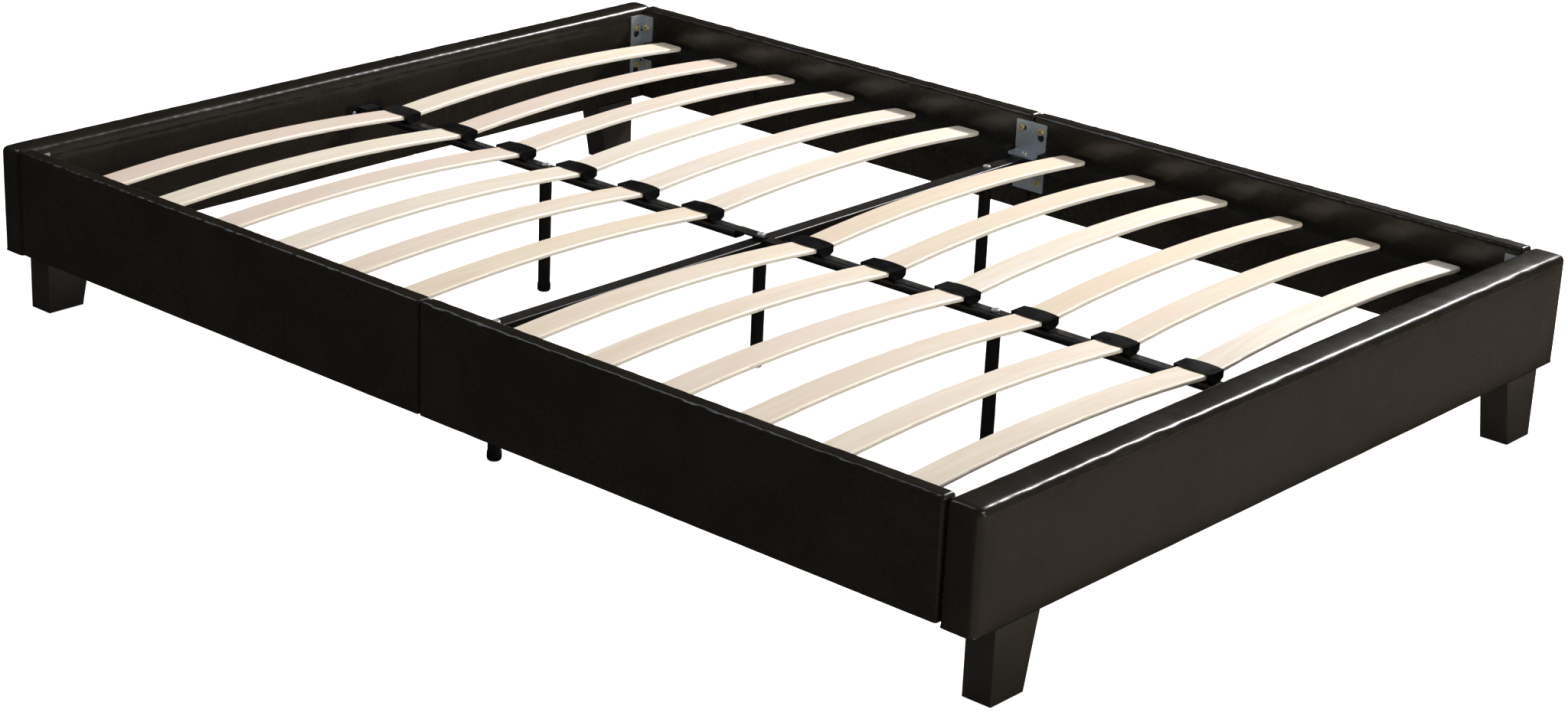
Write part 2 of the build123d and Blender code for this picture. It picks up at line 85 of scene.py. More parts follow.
# ---------------------------------------------------------------- node graphs
class Graph:
    """Adds and joins the nodes of one material or one node group."""

    def __init__(self, tree: bpy.types.NodeTree) -> None:
        """Keep the tree that the nodes go into."""
        self.tree = tree

    def add(self, kind: str, inputs: dict | None = None, **settings: object) -> bpy.types.Node:
        """Add one node, with its sockets set or joined.

        Args:
            kind: Blender's identifier of the node type.
            inputs: Values or output sockets, by input name or number.
            settings: Properties of the node itself.

        Returns:
            The new node.
        """
        node = self.tree.nodes.new(kind)
        for name, value in settings.items():
            setattr(node, name, value)
        for key, value in (inputs or {}).items():
            if isinstance(value, bpy.types.NodeSocket):
                self.tree.links.new(value, node.inputs[key])
            else:
                node.inputs[key].default_value = value
        return node

    def maths(self, operation: str, *values: object, clamp: bool = False) -> bpy.types.NodeSocket:
        """Add a Math node and give its output.

        Args:
            operation: Name of the sum to do.
            values: Numbers or output sockets, in order.
            clamp: Whether the answer is kept from 0 to 1.

        Returns:
            The output socket.
        """
        node = self.add("ShaderNodeMath", dict(enumerate(values)), operation=operation,
                        use_clamp=clamp)
        return node.outputs[0]

    def vector(self, operation: str, *values: object) -> bpy.types.NodeSocket:
        """Add a Vector Math node and give its vector output."""
        node = self.add("ShaderNodeVectorMath", dict(enumerate(values)), operation=operation)
        return node.outputs[0]

    def ramp(self, value: bpy.types.NodeSocket, low: float, high: float,
             to_low: float = 0.0, to_high: float = 1.0) -> bpy.types.NodeSocket:
        """Map a value's range smoothly to another.

        Args:
            value: Socket to map.
            low: Where the range starts.
            high: Where the range stops.
            to_low: What the start becomes.
            to_high: What the stop becomes.

        Returns:
            The output socket.
        """
        node = self.add("ShaderNodeMapRange", {0: value, 1: low, 2: high, 3: to_low, 4: to_high},
                        interpolation_type="SMOOTHSTEP")
        return node.outputs[0]

    def noise(self, place: bpy.types.NodeSocket, scale: object, detail: float = 3.0,
              roughness: float = 0.5, distortion: float = 0.0) -> bpy.types.NodeSocket:
        """Add a noise pattern and give its value.

        Args:
            place: Coordinates that the pattern follows.
            scale: Features to the metre.
            detail: Number of finer layers.
            roughness: Strength of the finer layers.
            distortion: How far the pattern is pushed about.

        Returns:
            The value output.
        """
        node = self.add("ShaderNodeTexNoise", {
            "Vector": place, "Scale": scale, "Detail": detail, "Roughness": roughness,
            "Distortion": distortion})
        return node.outputs["Fac"]

    def blend(self, factor: object, first: object, second: object,
              kind: str = "MIX") -> bpy.types.NodeSocket:
        """Mix two colours.

        Args:
            factor: Share of the second colour.
            first: Colour or socket at 0.
            second: Colour or socket at 1.
            kind: Blend type.

        Returns:
            The mixed colour's socket.
        """
        node = self.add("ShaderNodeMix", data_type="RGBA", blend_type=kind)
        for index, value in ((0, factor), (6, first), (7, second)):
            if isinstance(value, bpy.types.NodeSocket):
                self.tree.links.new(value, node.inputs[index])
            elif isinstance(value, tuple):
                node.inputs[index].default_value = (*value, 1.0)
            else:
                node.inputs[index].default_value = value
        return node.outputs[2]


class EffectGroup:
    """A shared effect, built once as a shader node group."""

    name = "effect"
    numbers: tuple[tuple[str, float], ...] = ()
    results: tuple[str, ...] = ()

    def place(self, graph: Graph, inputs: dict) -> bpy.types.Node:
        """Put the effect in a material.

        Args:
            graph: Graph of the material.
            inputs: Values or sockets, by the group's input names.

        Returns:
            The group node.
        """
        tree = bpy.data.node_groups.get(self.name) or self._build()
        node = graph.add("ShaderNodeGroup", node_tree=tree)
        for key, value in inputs.items():
            if isinstance(value, bpy.types.NodeSocket):
                graph.tree.links.new(value, node.inputs[key])
            else:
                node.inputs[key].default_value = value
        return node

    def _build(self) -> bpy.types.NodeTree:
        """Make the group's tree, its sockets and its nodes.

        Returns:
            The finished node tree.
        """
        tree = bpy.data.node_groups.new(self.name, "ShaderNodeTree")
        tree.interface.new_socket("Place", in_out="INPUT", socket_type="NodeSocketVector")
        for name, value in self.numbers:
            made = tree.interface.new_socket(name, in_out="INPUT", socket_type="NodeSocketFloat")
            made.default_value = value
        for name in self.results:
            tree.interface.new_socket(name, in_out="OUTPUT", socket_type="NodeSocketFloat")
        graph = Graph(tree)
        start = graph.add("NodeGroupInput")
        stop = graph.add("NodeGroupOutput")
        for name, socket in self.wire(graph, start.outputs).items():
            tree.links.new(socket, stop.inputs[name])
        return tree

    def wire(self, graph: Graph, inputs: bpy.types.NodeOutputs) -> dict:
        """Join the group's nodes."""
        raise NotImplementedError


class HideGrain(EffectGroup):
    """Pebbled hide: small raised cells with creases between them."""

    name = "hide_grain"
    numbers = (("Pebbles", 700.0), ("Creases", 60.0))
    results = ("Height", "Crease")

    def wire(self, graph: Graph, inputs: bpy.types.NodeOutputs) -> dict:
        """Cells pushed about by noise, over soft creases.

        Args:
            graph: Graph of the group.
            inputs: The group's inputs, by name.

        Returns:
            Output sockets by the names of the group's results.
        """
        push = graph.add("ShaderNodeTexNoise", {"Vector": inputs["Place"], "Scale": 180.0,
                                                "Detail": 2.0}).outputs["Color"]
        shifted = graph.add("ShaderNodeVectorMath", {0: push, 1: (0.004, 0.004, 0.004)},
                            operation="MULTIPLY").outputs[0]
        place = graph.vector("ADD", inputs["Place"], shifted)
        cells = graph.add("ShaderNodeTexVoronoi", {"Vector": place, "Scale": inputs["Pebbles"]},
                          feature="DISTANCE_TO_EDGE").outputs["Distance"]
        pebble = graph.ramp(cells, 0.0, 0.28)
        long_crease = graph.noise(place, inputs["Creases"], 4.0, 0.6, 0.8)
        crease = graph.ramp(graph.maths("ABSOLUTE", graph.maths("SUBTRACT", long_crease, 0.5)),
                            0.0, 0.035, 1.0, 0.0)
        height = graph.maths("SUBTRACT", pebble, graph.maths("MULTIPLY", crease, 0.2))
        return {"Height": height, "Crease": crease}


class Mottle(EffectGroup):
    """Soft uneven cloud, from broad patches to fine specks."""

    name = "mottle"
    numbers = (("Patches", 6.0), ("Specks", 90.0))
    results = ("Cloud", "Speck")

    def wire(self, graph: Graph, inputs: bpy.types.NodeOutputs) -> dict:
        """Two noises at their own scales.

        Args:
            graph: Graph of the group.
            inputs: The group's inputs, by name.

        Returns:
            Output sockets by the names of the group's results.
        """
        cloud = graph.noise(inputs["Place"], inputs["Patches"], 4.0, 0.6, 0.3)
        speck = graph.noise(inputs["Place"], inputs["Specks"], 2.0, 0.5)
        return {"Cloud": graph.ramp(cloud, 0.3, 0.7), "Speck": graph.ramp(speck, 0.35, 0.7)}


class Scuffs(EffectGroup):
    """Fine scratches and rubbed patches on a hard surface."""

    name = "scuffs"
    numbers = (("Length", 40.0), ("Fineness", 900.0))
    results = ("Scratch", "Rub")

    def wire(self, graph: Graph, inputs: bpy.types.NodeOutputs) -> dict:
        """Noise drawn out along one axis, cut to thin lines.

        Args:
            graph: Graph of the group.
            inputs: The group's inputs, by name.

        Returns:
            Output sockets by the names of the group's results.
        """
        size = graph.add("ShaderNodeCombineXYZ", {0: inputs["Length"], 1: inputs["Fineness"],
                                                  2: inputs["Fineness"]}).outputs[0]
        drawn = graph.vector("MULTIPLY", inputs["Place"], size)
        line = graph.noise(drawn, 1.0, 3.0, 0.6, 0.4)
        rub = graph.noise(inputs["Place"], 25.0, 5.0, 0.65, 0.5)
        return {"Scratch": graph.ramp(line, 0.62, 0.72), "Rub": graph.ramp(rub, 0.45, 0.7)}


class PlyGrain(EffectGroup):
    """Birch face veneer: long fibres, short flecks and slow bands of tone."""

    name = "ply_grain"
    numbers = (("Seed", 0.0),)
    results = ("Fibre", "Fleck", "Band")

    def wire(self, graph: Graph, inputs: bpy.types.NodeOutputs) -> dict:
        """Noises drawn out along the slat.

        Args:
            graph: Graph of the group.
            inputs: The group's inputs, by name.

        Returns:
            Output sockets by the names of the group's results.
        """
        shift = graph.add("ShaderNodeCombineXYZ", {0: inputs["Seed"], 1: inputs["Seed"],
                                                   2: 0.0}).outputs[0]
        place = graph.vector("ADD", inputs["Place"], shift)
        fine = graph.vector("MULTIPLY", place, (14.0, 900.0, 900.0))
        fibre = graph.noise(fine, 1.0, 4.0, 0.65, 0.6)
        dash = graph.vector("MULTIPLY", place, (70.0, 900.0, 300.0))
        fleck = graph.noise(dash, 1.0, 2.0, 0.5, 0.2)
        slow = graph.vector("MULTIPLY", place, (3.0, 34.0, 10.0))
        band = graph.noise(slow, 1.0, 4.0, 0.55, 1.6)
        return {"Fibre": fibre, "Fleck": graph.ramp(fleck, 0.66, 0.78),
                "Band": graph.ramp(band, 0.3, 0.7)}


# ---------------------------------------------------------------- finishes
@dataclass(frozen=True)
class Finish:
    """A surface finish, made once as a material and shared by its pieces."""

    name: str

    def material(self) -> bpy.types.Material:
        """Give the material, made the first time that it is asked for.

        Returns:
            The finish's material.
        """
        title = f"{self.name}_finish"
        made = bpy.data.materials.get(title)
        if made is None:
            made = bpy.data.materials.new(title)
            made.use_nodes = True
            made.node_tree.nodes.clear()
            graph = Graph(made.node_tree)
            shader = graph.add("ShaderNodeBsdfPrincipled")
            stop = graph.add("ShaderNodeOutputMaterial")
            made.node_tree.links.new(shader.outputs[0], stop.inputs[0])
            place = graph.add("ShaderNodeTexCoord").outputs["Object"]
            self.wire(graph, shader, place)
        return made

    def wire(self, graph: Graph, shader: bpy.types.Node, place: bpy.types.NodeSocket) -> None:
        """Join the finish's nodes to its shader."""
        raise NotImplementedError

    @staticmethod
    def feed(graph: Graph, shader: bpy.types.Node, **sockets: bpy.types.NodeSocket) -> None:
        """Join sockets to the shader, by its input names with _ for a space."""
        for name, socket in sockets.items():
            graph.tree.links.new(socket, shader.inputs[name.replace("_", " ")])

    @staticmethod
    def bump(graph: Graph, height: bpy.types.NodeSocket, depth: float,
             strength: float = 1.0) -> bpy.types.NodeSocket:
        """Turn a height into a normal.

        Args:
            graph: Graph of the material.
            height: Height from 0 to 1.
            depth: Depth of a height of 1, in metres.
            strength: How much of the bump shows.

        Returns:
            The normal's socket.
        """
        node = graph.add("ShaderNodeBump", {"Strength": strength, "Distance": depth,
                                            "Height": height})
        return node.outputs["Normal"]


@dataclass(frozen=True)
class Leather(Finish):
    """Soft coated hide, near black and a little warm, with a satin gloss."""

    deep: Colour = (0.0150, 0.0128, 0.0102)
    light: Colour = (0.0215, 0.0180, 0.0138)
    roughness: float = 0.24
    specular: float = 0.42
    pebbles: float = 620.0
    creases: float = 45.0
    patches: float = 7.0
    specks: float = 160.0
    cloud_share: float = 0.8
    dull_cloud: float = 0.05
    dull_crease: float = 0.02
    grain_depth: float = 0.12 * MM
    grain_strength: float = 0.05

    def wire(self, graph: Graph, shader: bpy.types.Node, place: bpy.types.NodeSocket) -> None:
        """Mottled colour, pebbled bump and uneven gloss.

        Args:
            graph: Graph of the material.
            shader: The Principled BSDF.
            place: Object coordinates.
        """
        grain = HideGrain().place(graph, {"Place": place, "Pebbles": self.pebbles,
                                          "Creases": self.creases})
        cloud = Mottle().place(graph, {"Place": place, "Patches": self.patches,
                                       "Specks": self.specks})
        tone = graph.maths("MULTIPLY", cloud.outputs["Cloud"], self.cloud_share)
        tone = graph.maths("ADD", tone, graph.maths("MULTIPLY", cloud.outputs["Speck"],
                                                    1 - self.cloud_share))
        colour = graph.blend(tone, self.deep, self.light)
        dull = graph.maths("MULTIPLY", cloud.outputs["Cloud"], self.dull_cloud)
        dull = graph.maths("ADD", dull, graph.maths("MULTIPLY", grain.outputs["Crease"],
                                                    self.dull_crease))
        gloss = graph.maths("ADD", dull, self.roughness)
        normal = self.bump(graph, grain.outputs["Height"], self.grain_depth, self.grain_strength)
        self.feed(graph, shader, Base_Color=colour, Roughness=gloss, Normal=normal)
        shader.inputs["Specular IOR Level"].default_value = self.specular


@dataclass(frozen=True)
class Ply(Finish):
    """Pale birch plywood, lacquered, with its layers showing along the edges."""

    left: Colour = (0.80, 0.66, 0.50)
    right: Colour = (0.80, 0.68, 0.53)
    seed: float = 0.0
    arc_middle: float = 0.353
    arc_height: float = 0.246
    arc_radius: float = 3.6845
    thickness: float = 0.008
    layers: float = 6.0

    def wire(self, graph: Graph, shader: bpy.types.Node, place: bpy.types.NodeSocket) -> None:
        """Face veneer above, layered edges at the sides, one tint for each slat.

        Args:
            graph: Graph of the material.
            shader: The Principled BSDF.
            place: Object coordinates.
        """
        axes = graph.add("ShaderNodeSeparateXYZ", {0: place})
        away = graph.maths("ABSOLUTE", axes.outputs[0])
        off = graph.maths("SUBTRACT", away, self.arc_middle)
        fall = graph.maths("DIVIDE", graph.maths("MULTIPLY", off, off), 2 * self.arc_radius)
        rise = graph.maths("ADD", graph.maths("SUBTRACT", axes.outputs[2], self.arc_height), fall)
        level = graph.maths("DIVIDE", rise, self.thickness)
        ply = graph.maths("FRACT", graph.maths("MULTIPLY", level, self.layers / 2))
        layer = graph.ramp(graph.maths("ABSOLUTE", graph.maths("SUBTRACT", ply, 0.5)), 0.16, 0.34)
        grain = PlyGrain().place(graph, {"Place": place, "Seed": self.seed})
        side = graph.maths("GREATER_THAN", axes.outputs[0], 0.0)
        face = graph.blend(side, self.left, self.right)
        warm = graph.blend(graph.maths("MULTIPLY", grain.outputs["Band"], 0.40), face,
                           (0.72, 0.55, 0.39))
        lined = graph.blend(graph.maths("MULTIPLY", grain.outputs["Fibre"], 0.30), warm,
                            (0.88, 0.82, 0.72))
        flecked = graph.blend(graph.maths("MULTIPLY", grain.outputs["Fleck"], 0.35), lined,
                              (0.50, 0.33, 0.20))
        facing = graph.add("ShaderNodeTexCoord").outputs["Normal"]
        tilt = graph.add("ShaderNodeSeparateXYZ", {0: facing}).outputs[2]
        edge = graph.ramp(graph.maths("ABSOLUTE", tilt), 0.45, 0.9, 1.0, 0.0)
        edging = graph.blend(graph.maths("MULTIPLY", layer, 0.55), (0.93, 0.89, 0.80),
                             (0.66, 0.55, 0.42))
        colour = graph.blend(edge, flecked, edging)
        gloss = graph.ramp(grain.outputs["Fibre"], 0.2, 0.8, 0.38, 0.52)
        height = graph.maths("SUBTRACT", grain.outputs["Fibre"],
                             graph.maths("MULTIPLY", grain.outputs["Fleck"], 0.5))
        self.feed(graph, shader, Base_Color=colour, Roughness=gloss,
                  Normal=self.bump(graph, height, 0.00015, 0.5))


@dataclass(frozen=True)
class Painted(Finish):
    """Paint, powder coat or moulded plastic, with a light texture and a few rubs."""

    colour: Colour = (0.012, 0.011, 0.010)
    rubbed: Colour = (0.030, 0.028, 0.026)
    roughness: float = 0.40
    texture: float = 900.0
    depth: float = 0.00008
    specular: float = 0.4
    rub_share: float = 0.35

    def wire(self, graph: Graph, shader: bpy.types.Node, place: bpy.types.NodeSocket) -> None:
        """Fine texture, with rubs that are paler and glossier.

        Args:
            graph: Graph of the material.
            shader: The Principled BSDF.
            place: Object coordinates.
        """
        wear = Scuffs().place(graph, {"Place": place, "Length": 30.0, "Fineness": 700.0})
        cloud = Mottle().place(graph, {"Place": place, "Patches": 18.0, "Specks": 300.0})
        rub = graph.maths("MULTIPLY", wear.outputs["Rub"], cloud.outputs["Cloud"])
        share = graph.maths("ADD", graph.maths("MULTIPLY", rub, self.rub_share),
                            graph.maths("MULTIPLY", wear.outputs["Scratch"], 0.2), clamp=True)
        colour = graph.blend(share, self.colour, self.rubbed)
        gloss = graph.ramp(cloud.outputs["Cloud"], 0.0, 1.0, self.roughness - 0.05,
                           self.roughness + 0.08)
        peel = graph.noise(place, self.texture, 3.0, 0.6)
        self.feed(graph, shader, Base_Color=colour, Roughness=gloss,
                  Normal=self.bump(graph, peel, self.depth, 0.6))
        shader.inputs["Specular IOR Level"].default_value = self.specular


@dataclass(frozen=True)
class Plated(Finish):
    """Zinc plate: a metal with a soft crystal bloom and fine scratches."""

    colour: Colour = (0.42, 0.48, 0.54)
    bloom: Colour = (0.60, 0.66, 0.72)
    roughness: float = 0.32
    metallic: float = 0.6

    def wire(self, graph: Graph, shader: bpy.types.Node, place: bpy.types.NodeSocket) -> None:
        """Crystals of two tones, scratched.

        Args:
            graph: Graph of the material.
            shader: The Principled BSDF.
            place: Object coordinates.
        """
        crystals = graph.add("ShaderNodeTexVoronoi", {"Vector": place, "Scale": 240.0}
                             ).outputs["Color"]
        tone = graph.add("ShaderNodeSeparateColor", {0: crystals}).outputs[0]
        wear = Scuffs().place(graph, {"Place": place, "Length": 90.0, "Fineness": 1500.0})
        cloud = Mottle().place(graph, {"Place": place, "Patches": 30.0, "Specks": 400.0})
        share = graph.maths("ADD", graph.maths("MULTIPLY", tone, 0.45),
                            graph.maths("MULTIPLY", cloud.outputs["Cloud"], 0.45))
        colour = graph.blend(share, self.colour, self.bloom)
        gloss = graph.maths("ADD", graph.maths("MULTIPLY", wear.outputs["Rub"], 0.16),
                            self.roughness)
        self.feed(graph, shader, Base_Color=colour, Roughness=gloss,
                  Normal=self.bump(graph, wear.outputs["Scratch"], 0.00004, 0.4))
        shader.inputs["Metallic"].default_value = self.metallic


@dataclass(frozen=True)
class Timber(Finish):
    """Sawn softwood of the hidden rail cores."""

    pale: Colour = (0.62, 0.45, 0.28)
    dark: Colour = (0.40, 0.25, 0.13)

    def wire(self, graph: Graph, shader: bpy.types.Node, place: bpy.types.NodeSocket) -> None:
        """Growth bands and saw marks.

        Args:
            graph: Graph of the material.
            shader: The Principled BSDF.
            place: Object coordinates.
        """
        grain = PlyGrain().place(graph, {"Place": place, "Seed": 3.7})
        share = graph.maths("MULTIPLY", grain.outputs["Band"], 0.8)
        colour = graph.blend(share, self.pale, self.dark)
        gloss = graph.ramp(grain.outputs["Fibre"], 0.2, 0.8, 0.6, 0.75)
        self.feed(graph, shader, Base_Color=colour, Roughness=gloss,
                  Normal=self.bump(graph, grain.outputs["Fibre"], 0.0003, 0.6))


@dataclass(frozen=True)
class Floor(Finish):
    """Plain pale studio floor."""

    pale: Colour = (0.93, 0.93, 0.93)
    glow: Colour = (0.85, 0.85, 0.85)

    def wire(self, graph: Graph, shader: bpy.types.Node, place: bpy.types.NodeSocket) -> None:
        """Nearly even, matt.

        Args:
            graph: Graph of the material.
            shader: The Principled BSDF.
            place: Object coordinates.
        """
        cloud = Mottle().place(graph, {"Place": place, "Patches": 0.6, "Specks": 8.0})
        share = graph.maths("MULTIPLY", cloud.outputs["Cloud"], 0.08)
        self.feed(graph, shader, Base_Color=graph.blend(share, self.pale, (0.90, 0.90, 0.90)))
        seen = graph.add("ShaderNodeLightPath").outputs["Is Camera Ray"]
        self.feed(graph, shader, Emission_Color=graph.blend(seen, (0.0, 0.0, 0.0), self.glow))
        shader.inputs["Emission Strength"].default_value = 1.0
        shader.inputs["Roughness"].default_value = 0.9
        shader.inputs["Specular IOR Level"].default_value = 0.1


# ---------------------------------------------------------------- modelling by hand
class Bench:
    """The modelling operators, each used the way it is used by hand."""

    @staticmethod
    def clear() -> None:
        """Leave edit mode and deselect everything."""
        if bpy.context.object is not None and bpy.context.object.mode != "OBJECT":
            bpy.ops.object.mode_set(mode="OBJECT")
        bpy.ops.object.select_all(action="DESELECT")

    @staticmethod
    def block(name: str, low: Vector, high: Vector) -> bpy.types.Object:
        """Add a cube between two corners, with its place in its mesh.

        Args:
            name: Name of the new piece.
            low: Lowest corner.
            high: Highest corner.

        Returns:
            The new object, selected and active.
        """
        Bench.clear()
        bpy.ops.mesh.primitive_cube_add(size=1.0, location=(low + high) / 2)
        piece = bpy.context.object
        piece.name = name
        piece.data.name = name
        piece.scale = high - low
        bpy.ops.object.transform_apply(location=True, rotation=True, scale=True)
        return piece

    @staticmethod
    def pick_edges(piece: bpy.types.Object, test: Callable[[Vector, Vector], bool]) -> None:
        """Select the edges that pass a test, in object mode, and go to edit mode.

        Args:
            piece: The active object.
            test: Function of an edge's two end points.
        """
        bpy.ops.object.mode_set(mode="EDIT")
        bpy.ops.mesh.select_mode(type="EDGE")
        bpy.ops.mesh.select_all(action="DESELECT")
        bpy.ops.object.mode_set(mode="OBJECT")
        points = piece.data.vertices
        for edge in piece.data.edges:
            edge.select = test(points[edge.vertices[0]].co, points[edge.vertices[1]].co)
        bpy.ops.object.mode_set(mode="EDIT")

    @staticmethod
    def take(piece: bpy.types.Object) -> None:
        """Select one piece alone and make it active.

        Args:
            piece: Object to work on.
        """
        Bench.clear()
        piece.select_set(True)
        bpy.context.view_layer.objects.active = piece

    @staticmethod
    def smooth(piece: bpy.types.Object, degrees: float) -> None:
        """Shade a piece smooth, with sharp edges past an angle.

        Args:
            piece: Object to shade.
            degrees: Angle that stays smooth.
        """
        Bench.take(piece)
        bpy.ops.object.shade_smooth_by_angle(angle=math.radians(degrees))
        piece.select_set(False)


def dress(piece: bpy.types.Object, finish: Finish) -> None:
    """Give a piece one finish.

    Args:
        piece: Object to dress.
        finish: Its finish.
    """
    if not piece.data.materials:
        piece.data.materials.append(finish.material())
    for index in range(len(piece.data.materials)):
        piece.data.materials[index] = finish.material()


# ---------------------------------------------------------------- studio
@dataclass(frozen=True)
class Lamp:
    """One soft rectangular light, not seen by the camera itself."""

    name: str
    place: tuple[float, float, float]
    target: tuple[float, float, float]
    size: tuple[float, float]
    watts: float
    colour: Colour

    def hang(self) -> None:
        """Put the light in the scene, pointing at its target."""
        data = bpy.data.lights.new(self.name, "AREA")
        data.shape, data.size, data.size_y = "RECTANGLE", self.size[0], self.size[1]
        data.energy, data.color = self.watts, self.colour
        light = bpy.data.objects.new(self.name, data)
        light.visible_camera = False
        bpy.context.scene.collection.objects.link(light)
        light.location = self.place
        aim = Vector(self.target) - Vector(self.place)
        light.rotation_euler = aim.to_track_quat("-Z", "Y").to_euler()


LAMPS = (
    Lamp("key", (4.3, -0.3, 3.5), (0.0, 0.0, 0.2), (0.4, 0.4), 320.0, (1.0, 0.97, 0.93)),
    Lamp("sheen", (4.0, -0.5, 3.6), (0.0, 0.0, 0.2), (2.2, 2.2), 60.0, (0.80, 0.87, 1.0)),
    Lamp("rim", (-1.0, 2.2, 3.3), (-0.8, 0.0, 0.2), (1.2, 2.2), 26.0, (0.86, 0.92, 1.0)),
    Lamp("front", (-0.3, -5.0, 1.6), (0.0, 0.0, 0.2), (2.4, 1.4), 75.0, (1.0, 0.93, 0.82)),
    Lamp("forward", (0.05, -1.42, 0.02), (0.05, -1.42, 2.0), (3.2, 0.6), 1.5,
         (1.0, 0.84, 0.66)),
)


@dataclass
class Studio:
    """Pale floor, soft lights and the camera."""

    azimuth: float = -49.353
    elevation: float = 20.608
    roll: float = 2.600
    place: tuple[float, float, float] = (-3.6912, -3.2148, 1.8640)
    lens: float = 74.07
    sensor: float = 36.0
    floor_half: float = 30.0
    ambient: float = 0.26

    def camera(self) -> None:
        """Create the camera and make it the scene's."""
        turn, rise = math.radians(self.azimuth), math.radians(self.elevation)
        back = Vector((math.sin(turn) * math.cos(rise), -math.cos(turn) * math.cos(rise),
                       math.sin(rise)))
        right = (-back).cross(Vector((0, 0, 1))).normalized()
        up = right.cross(-back)
        lean = math.radians(self.roll)
        across = right * math.cos(lean) + up * math.sin(lean)
        upward = up * math.cos(lean) - right * math.sin(lean)
        data = bpy.data.cameras.new("camera")
        data.lens, data.sensor_width = self.lens, self.sensor
        data.clip_start, data.clip_end = 0.05, 60.0
        camera = bpy.data.objects.new("camera", data)
        bpy.context.scene.collection.objects.link(camera)
        turned = Matrix((across, upward, back)).transposed().to_4x4()
        camera.matrix_world = Matrix.Translation(self.place) @ turned
        bpy.context.scene.camera = camera

    def floor(self) -> None:
        """Lay the floor under the legs."""
        Bench.clear()
        bpy.ops.mesh.primitive_plane_add(size=2 * self.floor_half, location=(0, 0, 0))
        ground = bpy.context.object
        ground.name = "floor"
        bpy.ops.object.mode_set(mode="EDIT")
        bpy.ops.mesh.subdivide(number_cuts=3)
        bpy.ops.object.mode_set(mode="OBJECT")
        dress(ground, Floor("pale_floor"))
        ground.visible_glossy = False

    def lights(self) -> None:
        """Hang the lights and set the room's glow."""
        world = bpy.data.worlds.new("room")
        world.use_nodes = True
        glow = world.node_tree.nodes["Background"]
        glow.inputs["Color"].default_value = (1.0, 1.0, 1.0, 1.0)
        glow.inputs["Strength"].default_value = self.ambient
        world.cycles_visibility.glossy = False
        bpy.context.scene.world = world
        for lamp in LAMPS:
            lamp.hang()
        scene = bpy.context.scene
        scene.view_settings.view_transform = "Standard"
        scene.view_settings.look = "None"

    def build(self) -> None:
        """Set up the whole studio."""
        self.camera()
        self.floor()
        self.lights()
        log.info("studio: camera, floor and lights")


# ---------------------------------------------------------------- leather covers
LONG_EDGE = 0.8             # share of the span that an edge has to pass to be divided
WHOLE_STEP = 0.6            # share of a step that tells an upright edge from a fold's
SAME_HEIGHT = 0.3 * MM      # how far a point may lie from the top fold's lower line
FOLD_SLACK = 1.02           # share of the fold's width that still counts as the fold
UNDERSIDE_SLACK = 1.1       # the same for the small fold round the underside


class Waves(Enum):
    """Kinds of unevenness: longest and shortest wave, in metres, and how many waves."""

    BROAD = (0.42, 0.045, 9)
    FINE = (0.05, 0.016, 7)
    CRUMPLE = (0.034, 0.008, 11)
    WANDER = (0.5, 0.06, 5)
    GATHER = (0.045, 0.007, 9)


class Ripple:
    """A smooth, repeatable unevenness: a few waves in fixed directions."""

    def __init__(self, seed: int, kind: Waves) -> None:
        """Choose the waves.

        Args:
            seed: Start of the random draws.
            kind: Lengths and number of the waves.
        """
        longest, shortest, waves = kind.value
        draw = np.random.default_rng(seed)
        lengths = np.geomspace(longest, shortest, waves)
        turns = draw.normal(size=(waves, 3))
        turns /= np.linalg.norm(turns, axis=1)[:, None]
        self.steps = turns * (2 * math.pi / lengths)[:, None]
        self.phases = draw.uniform(0, 2 * math.pi, waves)
        self.sizes = (lengths / longest) ** 0.5
        self.sizes /= self.sizes.sum() ** 0.5

    def at(self, points: np.ndarray) -> np.ndarray:
        """Height of the unevenness at each point, from about -1 to 1."""
        return (np.sin(points @ self.steps.T + self.phases) * self.sizes).sum(axis=1)


def near(values: np.ndarray, middle: float, reach: float) -> np.ndarray:
    """Bell that is 1 at a place and fades over a reach."""
    return np.exp(-((values - middle) / reach) ** 2)


